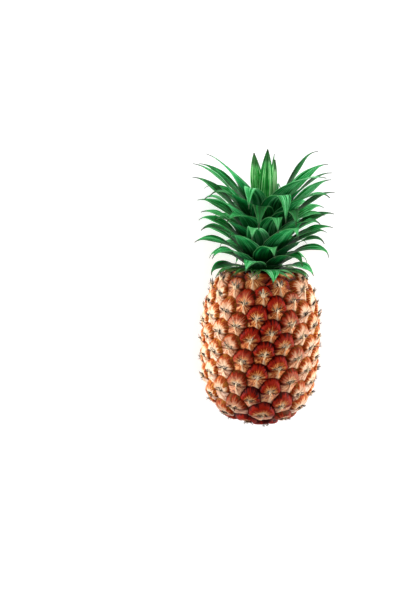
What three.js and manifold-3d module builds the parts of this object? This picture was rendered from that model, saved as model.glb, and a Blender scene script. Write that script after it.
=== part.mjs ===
// A ripe pineapple with its crown of leaves, cut from the plant and lying on its side.
// +Y runs along the fruit from the cut stalk to the crown, +Z is up and the floor is z = 0.
// Lengths are millimetres and angles are degrees.

import * as THREE from 'three';
import { ConvexHull } from 'three/addons/math/ConvexHull.js';
import { mergeVertices } from 'three/addons/utils/BufferGeometryUtils.js';
import Module from 'manifold-3d';

// Body of the fruit: a squared-off oval turned about its axis
const BODY_LENGTH = 162;
const BELLY_AT = 79;
const BODY_RADIUS = 59.2;
const BODY_SQUARENESS = 2.8;
const AXIS_HEIGHT = 59;
const OUTLINE_STEPS = 600;

// Eyes: a single spiral, each eye one turn step on from the last and one share of skin higher
const EYE_TURN = 137.42;
const EYE_PHASE = -1.4;
const FIRST_EYE = -70;
const LAST_EYE = 75;
const SKIN_BELOW_EYE_ZERO = 31975;
const EYE_AREA = 374.5;
const EYE_AREA_SLOPE = -0.505;
const EYE_AREA_CURVE = 0.00657;

// Relief of one eye, as heights over the smooth body
const GROOVE_DEPTH = 2.6;
const SHOULDER_SHARE = 0.76;
const SHOULDER_LIFT = 0.5;
const DOME_SHARE = 0.3;
const DOME_LIFT = 1.9;
const DOME_LEAN = 0.9;
const SPIKE_LIFT = 4.6;
const SPIKE_LEAN = 2.2;

// Stalk: a short cut stub standing in a hollow at the bottom of the fruit
const STALK_RADIUS = 11.5;
const STALK_POCKET_DEPTH = 6;
const STALK_PROUD = 2.5;
const DRUM_SIDES = 32;

// Crown core: half an egg standing on a flat seat at the top of the fruit
const GAP = 0.3;
const SEAT_DROP = 3.6;
const SEAT_RADIUS = 35;
const SEAT_AT = BODY_LENGTH - SEAT_DROP - GROOVE_DEPTH;
const CROWN_FOOT = SEAT_AT + GAP;
const CORE_RADIUS = 18;
const CORE_HEIGHT = 54;
const CORE_RINGS = 8;
const CORE_SIDES = 24;
const CORE_ARC_START = 1;
const CORE_ARC_END = 77;

// Crown leaves, from the lowest and outermost to the heart
const LEAVES = 72;
const FUSED_LEAVES = 16;
const FUSED_DEPTH = 3.4;
const HEART_LEAVES = 5;
const HEART_SHARE = 0.93;
const HEART_DEPTH = 1.05;
const CROWN_PHASE = 12;
const LEAF_SEED = 6;

// How a leaf changes with its share of the way up the crown:
// share, angle where it leaves the core, along its middle and at its tip, length, half width
const LEAF_ROWS = [
  [0, 18, 2, -65, 36, 12],
  [0.1, 38, 28, -52, 46, 13],
  [0.25, 46, 35, -16, 60, 13.8],
  [0.45, 57, 40, 5, 63, 14.2],
  [0.6, 61, 46, 14, 68, 14.5],
  [0.75, 64.5, 50, 24, 80, 14],
  [0.925, 69, 56, 42, 90, 13],
  [0.94, 73, 80, 88, 66, 8.2],
  [1, 83, 86, 90, 58, 6.6],
];
const MIDDLE_SCATTER = 2.2;
const TIP_SCATTER = 10;
const LENGTH_SCATTER = 0.08;
const WIDTH_SCATTER = 0.1;
const SWAY = 7;
const HEART_LOOSENESS = 0.12;

// Bend of a leaf: it leaves the core steeply, droops along its length and hooks at its tip
const BEND_STEPS = 56;
const FOOT_SHARE = 0.3;
const DROOP_POWER = 1.4;
const HOOK_FROM = 0.78;
const HOOK_POWER = 1.5;
const HOOK_LEAST = 8;
const HOOK_SPREAD = 48;

// The upper leaves that face up from the floor or down to it are bent further over
const OVER_FROM = 0.22;
const OVER_SPAN = 0.3;
const OVER_MIDDLE = 30;
const OVER_TIP = 60;
const OVER_LEAVES_FROM = 0.3;
const OVER_LEAVES_SPAN = 0.4;

// The ends of the leaves that face straight up from the floor are folded and hang down,
// the low ones sharply near the tip and the high ones in a wider arch
const FOLD_ANGLE = -82;
const FOLD_SCATTER = 14;
const FOLD_FROM = 0.8;
const FOLD_HIGH_FROM = 0.64;
const FOLD_SPAN = 0.08;
const FOLD_HIGH_SPAN = 0.2;
const FOLD_FACING = 0.87;
const FOLD_FACING_SPAN = 0.08;
const FOLD_LEAVES_FROM = 0.1;

// Outline of a leaf: a blade that tapers to its tip, or in the heart a lens
const FOOT_WIDTH = 0.74;
const BLADE_POWER = 0.9;
const BLADE_FULLNESS = 0.45;
const LENS_FROM = 0.14;
const LENS_POWER = 0.8;
const TIP_HALF_WIDTH = 0.45;
const HUG_SHARE = 0.85;

// Section of a leaf: a gutter that opens and twists past the crowded foot
const OPEN_FROM = 0.35;
const OPEN_SPAN = 0.35;
const GUTTER_DEPTH = 2.2;
const GUTTER_HALF_WIDTH = 13;
const LEAF_TWIST = 28;
const LEAF_GAP = 0.35;
const LEAF_RISE = 0.8;
const LEAF_THICK_SHARE = 1 / 64;
const LEAF_THICK_LEAST = 0.95;
const EDGE_THICKNESS = 0.45;
const LEAF_STATIONS = [0, 0.17, 0.34, 0.52, 0.69, 0.83, 1];
const LEAF_SEGMENTS = 3;
const HEART_SEGMENTS = 5;

// Leaves that would reach the floor bend along it
const FLOOR_CLEAR = 1.9;
const FLOOR_SOFTNESS = 7;

const UP = new THREE.Vector3(0, 1, 0);
const BELLY = new THREE.Vector3(0, BELLY_AT, 0);

const wasm = await Module();
wasm.setup();

function radians(angle) {
  return (angle * Math.PI) / 180;
}

function mix(from, to, share) {
  return from + (to - from) * share;
}

// Share of the way through a stretch, held between 0 and 1
function through(value, from, span) {
  return Math.min(Math.max((value - from) / span, 0), 1);
}

// The same share with a soft start and end
function eased(value, from, span) {
  const share = through(value, from, span);
  return share * share * (3 - 2 * share);
}

// A repeatable number between -1 and 1 for leaf i and purpose k
function scatter(i, k) {
  const wave = Math.sin(i * 12.9898 + k * 78.233 + LEAF_SEED) * 43758.5453;
  return 2 * (wave - Math.floor(wave)) - 1;
}

// Straight-line reading of a rising table of [key, value] pairs
function lookUp(table, key) {
  let row = 1;
  while (row < table.length - 1 && table[row][0] < key) row += 1;
  const [low, high] = [table[row - 1], table[row]];
  return mix(low[1], high[1], through(key, low[0], high[0] - low[0]));
}

// Half-length of the body on the side of the belly where a point lies
function halfLength(y) {
  return y < BELLY_AT ? BELLY_AT : BODY_LENGTH - BELLY_AT;
}

function bodyRadius(y) {
  const reach = Math.min(Math.abs(y - BELLY_AT) / halfLength(y), 1);
  return BODY_RADIUS * (1 - reach ** BODY_SQUARENESS) ** (1 / BODY_SQUARENESS);
}

// How far out a point lies, as a share of the way from the belly's centre to the skin
function bodyShare(point) {
  const across = Math.hypot(point.x, point.z) / BODY_RADIUS;
  const along = Math.abs(point.y - BELLY_AT) / halfLength(point.y);
  return (across ** BODY_SQUARENESS + along ** BODY_SQUARENESS) ** (1 / BODY_SQUARENESS);
}

function ontoBody(point) {
  return point.clone().sub(BELLY).divideScalar(bodyShare(point)).add(BELLY);
}

// Outward direction of the smooth body at a point on it
function bodyNormal(point) {
  const radius = Math.hypot(point.x, point.z);
  const half = halfLength(point.y);
  const across = (radius / BODY_RADIUS) ** (BODY_SQUARENESS - 1) / BODY_RADIUS;
  const along = (Math.abs(point.y - BELLY_AT) / half) ** (BODY_SQUARENESS - 1) / half;
  const out = radius > 0 ? across / radius : 0;
  const end = Math.sign(point.y - BELLY_AT) * along;
  return new THREE.Vector3(point.x * out, end, point.z * out).normalize();
}

function lifted(point, lift) {
  const foot = ontoBody(point);
  return foot.addScaledVector(bodyNormal(foot), lift);
}

// Walks the outline from the stalk end: distance along the axis, radius and length of each step
function outlineSteps() {
  const walk = [];
  let last = { y: 0, radius: 0 };
  for (let step = 1; step <= OUTLINE_STEPS; step += 1) {
    const angle = (Math.PI * step) / OUTLINE_STEPS;
    const half = 2 * step < OUTLINE_STEPS ? BELLY_AT : BODY_LENGTH - BELLY_AT;
    const y = BELLY_AT - half * Math.cos(angle);
    const radius = bodyRadius(y);
    const stride = Math.hypot(y - last.y, radius - last.radius);
    walk.push({ y, radius: (radius + last.radius) / 2, stride });
    last = { y, radius };
  }
  return walk;
}

// Skin area from the stalk end, against distance along the axis
function skinTable() {
  let area = 0;
  const rows = outlineSteps().map(({ y, radius, stride }) => {
    area += 2 * Math.PI * radius * stride;
    return [area, y];
  });
  return [[0, 0], ...rows];
}

// Latitude on a ball that keeps small shapes on the skin undistorted, against distance along the axis
function ballTable() {
  let stretch = 0;
  const rows = outlineSteps().map(({ y, radius, stride }) => {
    stretch += stride / radius;
    return [y, stretch];
  });
  const belly = lookUp(rows, BELLY_AT);
  return rows.map(([y, reached]) => [y, reached - belly]);
}

// Centres of the eyes on the smooth body, in the order of the spiral
function eyeCentres() {
  const skin = skinTable();
  const centres = [];
  for (let n = FIRST_EYE; n <= LAST_EYE; n += 1) {
    const area = EYE_AREA + EYE_AREA_SLOPE * n + EYE_AREA_CURVE * n * n;
    const y = lookUp(skin, SKIN_BELOW_EYE_ZERO + n * area);
    const turn = radians(EYE_PHASE + n * EYE_TURN);
    const radius = bodyRadius(y);
    centres.push(new THREE.Vector3(radius * Math.sin(turn), y, radius * Math.cos(turn)));
  }
  return centres;
}

// For each centre, the triangles of neighbouring centres around it, in order
function neighbourRings(centres) {
  const ball = ballTable();
  const rounded = centres.map((centre) => {
    const stretch = lookUp(ball, centre.y);
    const turn = Math.atan2(centre.x, centre.z);
    const radius = 1 / Math.cosh(stretch);
    return new THREE.Vector3(radius * Math.sin(turn), Math.tanh(stretch), radius * Math.cos(turn));
  });
  const number = new Map(rounded.map((point, i) => [point, i]));
  const next = centres.map(() => new Map());
  for (const face of new ConvexHull().setFromPoints(rounded).faces) {
    const edges = [face.edge.prev, face.edge, face.edge.next];
    const corners = edges.map((edge) => number.get(edge.head().point));
    for (let k = 0; k < 3; k += 1) {
      const triangle = { corners, after: corners[(k + 2) % 3] };
      next[corners[k]].set(corners[(k + 1) % 3], triangle);
    }
  }
  return next.map((around) => {
    const ring = [];
    let step = around.keys().next().value;
    while (ring.length < around.size) {
      ring.push(around.get(step).corners);
      step = around.get(step).after;
    }
    return ring;
  });
}

// A growing mesh whose points can be shared by name
class MeshMaker {
  constructor() {
    this.points = [];
    this.faces = [];
    this.named = new Map();
  }

  add(point) {
    this.points.push(point.x, point.y, point.z);
    return this.points.length / 3 - 1;
  }

  share(name, makePoint) {
    if (!this.named.has(name)) this.named.set(name, this.add(makePoint()));
    return this.named.get(name);
  }

  // Joins two rings, the inner one either as long as the outer one or half as long
  band(outer, inner) {
    const ratio = outer.length / inner.length;
    for (let k = 0; k < outer.length; k += 1) {
      const here = inner[Math.floor(k / ratio) % inner.length];
      const ahead = inner[Math.floor((k + 1) / ratio) % inner.length];
      this.faces.push(outer[k], outer[(k + 1) % outer.length], here);
      if (ahead !== here) this.faces.push(outer[(k + 1) % outer.length], ahead, here);
    }
  }

  fan(ring, centre) {
    ring.forEach((index, k) => this.faces.push(index, ring[(k + 1) % ring.length], centre));
  }

  geometry() {
    const geometry = new THREE.BufferGeometry();
    geometry.setAttribute('position', new THREE.Float32BufferAttribute(this.points, 3));
    geometry.setIndex(this.faces);
    return geometry;
  }
}

function toSolid(geometry) {
  const bare = geometry.clone();
  bare.deleteAttribute('normal');
  bare.deleteAttribute('uv');
  const merged = mergeVertices(bare);
  const vertProperties = new Float32Array(merged.attributes.position.array);
  const triVerts = new Uint32Array(merged.index.array);
  return new wasm.Manifold(new wasm.Mesh({ numProp: 3, vertProperties, triVerts }));
}

function toGeometry(solid) {
  const mesh = solid.getMesh();
  const geometry = new THREE.BufferGeometry();
  geometry.setAttribute('position', new THREE.BufferAttribute(mesh.vertProperties, 3));
  geometry.setIndex(new THREE.BufferAttribute(mesh.triVerts, 1));
  return geometry;
}

// A drum about the fruit's axis, between two distances along it
function drum(radius, from, to) {
  const geometry = new THREE.CylinderGeometry(radius, radius, to - from, DRUM_SIDES);
  return geometry.translate(0, (from + to) / 2, 0);
}

// One eye: a groove all round, a rounded dome, and a dry spike leaning to the crown
function addEye(maker, centre, rim) {
  const out = bodyNormal(centre);
  const forward = UP.clone().addScaledVector(out, -UP.dot(out)).normalize();
  const inner = (share, lift) => (index) => {
    const edge = new THREE.Vector3().fromArray(maker.points, 3 * index).sub(centre);
    const lean = DOME_LEAN * edge.clone().normalize().dot(forward);
    return maker.add(lifted(edge.multiplyScalar(share).add(centre), lift + lean));
  };
  const shoulder = rim.map(inner(SHOULDER_SHARE, SHOULDER_LIFT));
  const dome = rim.filter((index, k) => k % 2 === 0).map(inner(DOME_SHARE, DOME_LIFT));
  const tip = centre.clone().addScaledVector(out, SPIKE_LIFT).addScaledVector(forward, SPIKE_LEAN);
  maker.band(rim, shoulder);
  maker.band(shoulder, dome);
  maker.fan(dome, maker.add(tip));
}

function buildFruit() {
  const ends = [new THREE.Vector3(0, 0, 0), new THREE.Vector3(0, BODY_LENGTH, 0)];
  const centres = [...eyeCentres(), ...ends];
  const maker = new MeshMaker();
  const named = (members) => [...members].sort((a, b) => a - b).join(' ');
  const middle = (members) => {
    const sum = new THREE.Vector3();
    members.forEach((i) => sum.add(centres[i]));
    return sum.divideScalar(members.length);
  };
  neighbourRings(centres).forEach((ring, i) => {
    const rim = ring.flatMap((members, k) => {
      const following = ring[(k + 1) % ring.length];
      const common = members.filter((j) => following.includes(j));
      const corner = () => lifted(middle(members), -GROOVE_DEPTH);
      const between = middle(members).lerp(middle(following), 0.5);
      const halfway = () => lifted(between, -GROOVE_DEPTH);
      return [maker.share(named(members), corner), maker.share(named(common), halfway)];
    });
    if (ends.includes(centres[i])) maker.fan(rim, maker.add(lifted(centres[i], -GROOVE_DEPTH)));
    else addEye(maker, centres[i], rim);
  });
  const pocket = drum(STALK_RADIUS + GAP, -BODY_LENGTH, STALK_POCKET_DEPTH);
  const seat = drum(SEAT_RADIUS, SEAT_AT, 2 * BODY_LENGTH);
  const floor = new THREE.BoxGeometry(4 * BODY_RADIUS, 3 * BODY_LENGTH, BODY_RADIUS);
  floor.translate(0, BODY_LENGTH / 2, -AXIS_HEIGHT - BODY_RADIUS / 2);
  let solid = toSolid(maker.geometry());
  for (const cutter of [pocket, seat, floor]) solid = solid.subtract(toSolid(cutter));
  return toGeometry(solid);
}

function buildStalk() {
  return drum(STALK_RADIUS, -STALK_PROUD, STALK_POCKET_DEPTH - GAP);
}

// Outline of the core: distance from the axis and height over its foot, by angle round the egg
function coreOutline(angle) {
  return [CORE_RADIUS * Math.cos(radians(angle)), CORE_HEIGHT * Math.sin(radians(angle))];
}

// Angle round the egg against share of the way along its side
function coreAngles() {
  const table = [[0, CORE_ARC_START]];
  let length = 0;
  let last = coreOutline(CORE_ARC_START);
  for (let angle = CORE_ARC_START + 1; angle <= CORE_ARC_END; angle += 1) {
    const point = coreOutline(angle);
    length += Math.hypot(point[0] - last[0], point[1] - last[1]);
    table.push([length, angle]);
    last = point;
  }
  return table.map(([arc, angle]) => [arc / length, angle]);
}

function buildCore() {
  const outline = [new THREE.Vector2(0, 0)];
  for (let ring = 0; ring < CORE_RINGS; ring += 1) {
    outline.push(new THREE.Vector2(...coreOutline((90 * ring) / CORE_RINGS)));
  }
  outline.push(new THREE.Vector2(0, CORE_HEIGHT));
  return new THREE.LatheGeometry(outline, CORE_SIDES).translate(0, CROWN_FOOT, 0);
}

// What leaf i has to its share of the way up the crown
function leafFacts(i) {
  const share = i / (LEAVES - 1);
  const [first, middle, tip, length, half] = [1, 2, 3, 4, 5].map((column) => {
    return lookUp(LEAF_ROWS.map((row) => [row[0], row[column]]), share);
  });
  const isHeart = share > HEART_SHARE;
  const loose = isHeart ? HEART_LOOSENESS : 1;
  const turn = radians(CROWN_PHASE + i * EYE_TURN);
  const high = isHeart ? 0 : through(share, OVER_LEAVES_FROM, OVER_LEAVES_SPAN);
  const over = high * Math.cos(turn) ** 2;
  let rooted = isHeart ? HEART_DEPTH : 0;
  if (i < FUSED_LEAVES) rooted = FUSED_DEPTH;
  return {
    share,
    isHeart,
    turn,
    first,
    middle: middle + MIDDLE_SCATTER * loose * scatter(i, 1),
    over: OVER_MIDDLE * over,
    fold: FOLD_ANGLE + FOLD_SCATTER * scatter(i, 17),
    foldFrom: mix(FOLD_FROM, FOLD_HIGH_FROM, high),
    foldSpan: mix(FOLD_SPAN, FOLD_HIGH_SPAN, high),
    folded: isHeart || share < FOLD_LEAVES_FROM ? 0 : eased(Math.cos(turn), FOLD_FACING, FOLD_FACING_SPAN),
    tip: tip + TIP_SCATTER * loose * scatter(i, 2) - OVER_TIP * over,
    hook: loose * (HOOK_LEAST + HOOK_SPREAD * Math.abs(scatter(i, 3))),
    half: half * (1 + WIDTH_SCATTER * scatter(i, 4)),
    length: length * (1 + LENGTH_SCATTER * scatter(i, 5)),
    sway: radians(SWAY * scatter(i, 6)),
    rooted,
  };
}

// The bend of a leaf: distance from the axis and height at even steps along it
function leafBend(leaf, start) {
  const root = radians(leaf.first);
  const foot = [leaf.rooted * Math.cos(root), leaf.rooted * Math.sin(root)];
  const bend = [[start[0] - foot[0], start[1] - foot[1]]];
  const stride = (leaf.length + leaf.rooted) / BEND_STEPS;
  for (let step = 0; step < BEND_STEPS; step += 1) {
    const u = (step + 0.5) / BEND_STEPS;
    const droop = through(u, FOOT_SHARE, 1 - FOOT_SHARE) ** DROOP_POWER;
    const hooked = leaf.hook * through(u, HOOK_FROM, 1 - HOOK_FROM) ** HOOK_POWER;
    const first = mix(leaf.first, leaf.middle, eased(u, 0, FOOT_SHARE));
    const bent = first - leaf.over * through(u, OVER_FROM, OVER_SPAN);
    const free = mix(bent, leaf.tip, droop) - hooked;
    const angle = radians(mix(free, leaf.fold, leaf.folded * eased(u, leaf.foldFrom, leaf.foldSpan)));
    const [radius, height] = bend[step];
    bend.push([radius + stride * Math.cos(angle), height + stride * Math.sin(angle)]);
  }
  return bend;
}

// Half width of a leaf at share u of its length
function leafHalfWidth(leaf, u) {
  const foot = mix(FOOT_WIDTH, 1, through(u, 0, FOOT_SHARE));
  const blade = foot * (1 - u) ** BLADE_POWER * (1 + BLADE_FULLNESS * u);
  const lens = Math.sin(Math.PI * mix(LENS_FROM, 1, u)) ** LENS_POWER;
  return Math.max(leaf.half * (leaf.isHeart ? lens : blade), TIP_HALF_WIDTH);
}

// Keeps the underside of the crown clear of the floor by bending leaves along it
function overFloor(point) {
  const depth = (point.z + AXIS_HEIGHT - FLOOR_CLEAR) / FLOOR_SOFTNESS;
  point.z = FLOOR_CLEAR - AXIS_HEIGHT + FLOOR_SOFTNESS * Math.log1p(Math.exp(depth));
  return point;
}

// Mid-surface of a leaf: u runs from its foot to its tip and v across it from -1 to 1
function leafSurface(leaf, thickness, coreShare) {
  const [coreRadius, height] = coreOutline(lookUp(coreShare, leaf.share));
  const bend = leafBend(leaf, [coreRadius + LEAF_GAP + thickness, height + LEAF_RISE]);
  return (u, v) => {
    const step = u * BEND_STEPS;
    const low = Math.min(Math.floor(step), BEND_STEPS - 1);
    const [from, to] = [bend[low], bend[low + 1]];
    const slope = Math.atan2(to[1] - from[1], to[0] - from[0]);
    const half = leafHalfWidth(leaf, u);
    const open = through(u, OPEN_FROM, OPEN_SPAN);
    const twist = radians(LEAF_TWIST) * Math.sin(leaf.turn) * open;
    const gutter = (GUTTER_DEPTH * v * v * open * half) / GUTTER_HALF_WIDTH;
    const raised = v * half * Math.sin(twist) + gutter;
    const radius = mix(from[0], to[0], step - low) - raised * Math.sin(slope);
    const rise = mix(from[1], to[1], step - low) + raised * Math.cos(slope);
    const across = (v * half * Math.cos(twist)) / Math.max(radius, HUG_SHARE * half);
    const around = leaf.turn + leaf.sway * u * u + across;
    const [x, z] = [radius * Math.sin(around), radius * Math.cos(around)];
    return overFloor(new THREE.Vector3(x, CROWN_FOOT + rise, z));
  };
}

function buildLeaf(i, coreShare) {
  const leaf = leafFacts(i);
  const thickness = Math.max(leaf.length * LEAF_THICK_SHARE, LEAF_THICK_LEAST);
  const at = leafSurface(leaf, thickness, coreShare);
  const maker = new MeshMaker();
  const small = 0.002;
  const rings = [];
  const segments = leaf.isHeart ? HEART_SEGMENTS : LEAF_SEGMENTS;
  for (const u of LEAF_STATIONS) {
    const upper = [];
    const lower = [];
    for (let segment = 0; segment <= segments; segment += 1) {
      const v = -1 + (2 * segment) / segments;
      const point = at(u, v);
      const along = at(Math.min(u + small, 1), v).sub(at(Math.max(u - small, 0), v));
      const across = at(u, v + small).sub(at(u, v - small));
      const normal = along.cross(across).normalize();
      const full = mix(thickness, EDGE_THICKNESS, v * v);
      const half = mix(full, EDGE_THICKNESS, u * u) / 2;
      upper.push(maker.add(point.clone().addScaledVector(normal, half)));
      lower.push(maker.add(point.clone().addScaledVector(normal, -half)));
    }
    rings.push([...upper, ...lower.reverse()]);
  }
  for (let k = 1; k < rings.length; k += 1) maker.band(rings[k], rings[k - 1]);
  capRing(maker, rings[0], true);
  capRing(maker, rings[rings.length - 1], false);
  return maker.geometry();
}

// Closes a ring of upper points followed by the lower points in reverse
function capRing(maker, ring, isFoot) {
  const last = ring.length - 1;
  for (let k = 0; k < ring.length / 2 - 1; k += 1) {
    const [a, b, c, d] = [ring[k], ring[k + 1], ring[last - k - 1], ring[last - k]];
    if (isFoot) maker.faces.push(a, c, d, a, b, c);
    else maker.faces.push(a, c, b, a, d, c);
  }
}

// The core and its lowest leaves are one piece
function buildCrownFoot(coreShare) {
  let solid = toSolid(buildCore());
  for (let i = 0; i < FUSED_LEAVES; i += 1) solid = solid.add(toSolid(buildLeaf(i, coreShare)));
  return toGeometry(solid);
}

const rind = new THREE.MeshStandardMaterial({ color: '#c9702f', roughness: 0.45, metalness: 0 });
const stalkWood = new THREE.MeshStandardMaterial({ color: '#b99a66', roughness: 0.85, metalness: 0 });
const darkLeaf = new THREE.MeshStandardMaterial({ color: '#1d6b34', roughness: 0.5, metalness: 0 });
const heartLeaf = new THREE.MeshStandardMaterial({ color: '#6fae62', roughness: 0.5, metalness: 0 });

function part(name, geometry, material) {
  geometry.computeVertexNormals();
  const mesh = new THREE.Mesh(geometry, material);
  mesh.name = name;
  return mesh;
}

const pineapple = new THREE.Group();
pineapple.add(part('fruit', buildFruit(), rind));
pineapple.add(part('stalk_cut', buildStalk(), stalkWood));
const coreShare = coreAngles();
pineapple.add(part('crown_core', buildCrownFoot(coreShare), darkLeaf));
for (let i = FUSED_LEAVES; i < LEAVES; i += 1) {
  const firstHeart = LEAVES - HEART_LEAVES;
  const isHeart = i >= firstHeart;
  const number = isHeart ? i - firstHeart + 1 : i - FUSED_LEAVES + 1;
  const name = `${isHeart ? 'heart' : 'leaf'}_${String(number).padStart(2, '0')}`;
  pineapple.add(part(name, buildLeaf(i, coreShare), isHeart ? heartLeaf : darkLeaf));
}

// The origin is on the floor under the middle of the whole pineapple
const middle = new THREE.Box3().setFromObject(pineapple).getCenter(new THREE.Vector3());
pineapple.position.set(-middle.x, -middle.y, AXIS_HEIGHT);

export default pineapple;
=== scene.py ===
# %% [markdown]
# # A ripe pineapple with its crown, lying on its side
#
# This notebook dresses the plain solids of a pineapple. The solids give the size and the place
# of every piece. Here each piece gets the fine shape and the finish that the real one has.
# The first cell loads those solids and keeps the size of their box.

# %% Load the solids
import math
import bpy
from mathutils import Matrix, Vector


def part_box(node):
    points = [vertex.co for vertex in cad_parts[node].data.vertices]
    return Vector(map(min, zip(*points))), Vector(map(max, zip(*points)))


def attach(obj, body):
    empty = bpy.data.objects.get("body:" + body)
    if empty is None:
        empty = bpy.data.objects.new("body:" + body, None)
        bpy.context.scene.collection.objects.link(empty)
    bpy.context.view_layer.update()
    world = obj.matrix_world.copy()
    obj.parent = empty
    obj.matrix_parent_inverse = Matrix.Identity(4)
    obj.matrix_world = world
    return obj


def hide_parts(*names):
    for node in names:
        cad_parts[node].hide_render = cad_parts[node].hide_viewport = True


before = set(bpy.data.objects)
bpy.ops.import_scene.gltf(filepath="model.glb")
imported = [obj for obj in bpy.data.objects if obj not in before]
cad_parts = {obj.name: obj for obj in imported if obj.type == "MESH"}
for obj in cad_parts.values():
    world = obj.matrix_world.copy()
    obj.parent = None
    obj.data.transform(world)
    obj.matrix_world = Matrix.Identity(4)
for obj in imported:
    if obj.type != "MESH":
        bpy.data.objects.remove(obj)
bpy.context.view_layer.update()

from types import SimpleNamespace

import bmesh
import bpy
import numpy as np
from mathutils import Matrix, Vector

bpy.ops.object.select_all(action="DESELECT")

# %% [markdown]
# ## Where the fruit lies
#
# All shapes are worked out in millimetres about the fruit's own axis, with y running from the
# stalk to the crown. The cut stalk stands on that axis, so its box gives the axis and the
# bottom of the fruit.

# %% Sizes and the fruit's axis
MM = 0.001
BODY_LENGTH, BELLY_AT, BODY_RADIUS, BODY_SQUARENESS = 162.0, 79.0, 59.2, 2.8
AXIS_HEIGHT, STALK_PROUD, STALK_RADIUS = 59.0, 2.5, 11.5
GROOVE_DEPTH, SEAT_RADIUS, SEAT_DROP, GAP = 2.6, 35.0, 3.6, 0.3
SEAT_AT = BODY_LENGTH - SEAT_DROP - GROOVE_DEPTH
CROWN_FOOT = SEAT_AT + GAP

stalk_low, stalk_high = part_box("stalk_cut")
AXIS_X = (stalk_low.x + stalk_high.x) / 2 / MM
AXIS_Y = stalk_low.y / MM + STALK_PROUD
print("the fruit's bottom is at", round(AXIS_X, 2), round(AXIS_Y, 2), "mm")

# %% [markdown]
# ## Writing a mesh from arrays
#
# Where a shape follows a rule, such as the spiral of the eyes, its points are worked out in
# arrays. A block is a set of points, its faces and the extra numbers that the finish reads,
# such as how near a point is to the edge of its eye. One helper writes blocks as one object
# in its place. It presses flat what would reach below the floor: the eyes that the fruit
# lies on.


# %% Helpers that write a mesh
def joined(blocks):
    """Several blocks as one. An extra number may be the same for all points of its block."""
    points, faces, values = [], [], {}
    start = 0
    for block_points, block_faces, block_values in blocks:
        faces += [[int(k) + start for k in face] for face in block_faces]
        start += len(block_points)
        points.append(block_points)
        for key, numbers in block_values.items():
            spread = np.full(len(block_points), numbers) if np.ndim(numbers) == 0 else numbers
            values.setdefault(key, []).append(spread)
    return np.concatenate(points), faces, {key: np.concatenate(rows) for key, rows in values.items()}


def write_piece(name, blocks, domain="POINT"):
    points, faces, values = joined(blocks)
    placed = points + [AXIS_X, AXIS_Y, AXIS_HEIGHT]
    placed[:, 2] = np.maximum(placed[:, 2], 0.0)
    mesh = bpy.data.meshes.new(name)
    mesh.from_pydata((placed * MM).tolist(), [], faces)
    for key, numbers in values.items():
        layer = mesh.attributes.new(key, "FLOAT", domain)
        layer.data.foreach_set("value", numbers.astype(np.float32))
    mesh.update()
    piece = bpy.data.objects.new(name, mesh)
    bpy.context.collection.objects.link(piece)
    mesh.shade_smooth()
    return piece


def shell_faces(rows, width):
    """Faces of a thin closed shell: one grid of points, the same grid again and the wall between."""
    grid = np.arange(rows * width).reshape(rows, width)
    a, b, c, d = grid[:-1, :-1], grid[:-1, 1:], grid[1:, 1:], grid[1:, :-1]
    far = rows * width
    faces = np.stack([a, d, c, b], -1).reshape(-1, 4).tolist()
    faces += (np.stack([a, b, c, d], -1).reshape(-1, 4) + far).tolist()
    edge = [*grid[0, :], *grid[1:, -1], *grid[-1, -2::-1], *grid[-2:0:-1, 0]]
    return faces + [[p, q, q + far, p + far] for p, q in zip(edge, edge[1:] + edge[:1])]


def finish_piece(piece, finish, slot, *nodes):
    piece.data.materials.append(finish)
    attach(piece, "root")
    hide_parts(*nodes)
    print(piece.name, len(piece.data.polygons), "faces")


print("faces of a closed sheet of 3 by 4 points:", len(shell_faces(3, 4)))

# %% [markdown]
# ## Gentle steps and seeded scatter
#
# Nature is even only from afar. The scatter below gives each eye and leaf its own small
# departures, always the same ones, and the part's source draws the leaves' from it too.

# %% Steps and scatter
SEED, PER_ITEM, PER_DRAW, SPREAD = 6.0, 12.9898, 78.233, 43758.5453


def mix(a, b, share):
    return a + (b - a) * share


def through(value, start, span):
    """From 0 at the start to 1 at the end of the span, and level outside it."""
    return np.clip((value - start) / span, 0.0, 1.0)


def smooth(value, start, span):
    share = through(value, start, span)
    return share * share * (3 - 2 * share)


def scatter(i, k):
    """Draw k of eye or leaf i, from -1 to 1."""
    wave = math.sin(i * PER_ITEM + k * PER_DRAW + SEED) * SPREAD
    return 2 * (wave - math.floor(wave)) - 1


print("first draws of eye 1:", [round(scatter(1, k), 3) for k in range(3)])

# %% [markdown]
# ## The body under the skin
#
# A pineapple is a fat, slightly squared oval turned about its axis. Everything on the skin is
# first placed on this smooth body and then raised or sunk along its outward direction.

# %% The smooth body
BELLY = np.array([0.0, BELLY_AT, 0.0])
TINY = 1e-9
OUTLINE_STEPS = 600


def half_length(y):
    return np.where(y < BELLY_AT, BELLY_AT, BODY_LENGTH - BELLY_AT)


def body_radius(y):
    reach = np.minimum(np.abs(y - BELLY_AT) / half_length(y), 1.0)
    return BODY_RADIUS * (1 - reach**BODY_SQUARENESS) ** (1 / BODY_SQUARENESS)


def onto_body(points):
    offset = points - BELLY
    across = np.hypot(offset[:, 0], offset[:, 2]) / BODY_RADIUS
    along = np.abs(offset[:, 1]) / half_length(points[:, 1])
    share = (across**BODY_SQUARENESS + along**BODY_SQUARENESS) ** (1 / BODY_SQUARENESS)
    return BELLY + offset / share[:, None]


def body_normal(points):
    x, y, z = points.T
    radius = np.hypot(x, z)
    half = half_length(y)
    power = BODY_SQUARENESS - 1
    across = (radius / BODY_RADIUS) ** power / BODY_RADIUS / np.maximum(radius, 1e-6)
    end = np.sign(y - BELLY_AT) * (np.abs(y - BELLY_AT) / half) ** power / half
    normal = np.stack([x * across, end, z * across], 1)
    return normal / np.linalg.norm(normal, axis=1, keepdims=True)


def lifted(points, lift):
    """Points moved onto the smooth body and then out from it by the lift."""
    foot = onto_body(np.asarray(points, float))
    return foot + body_normal(foot) * np.broadcast_to(lift, (len(foot),))[:, None]


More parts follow.
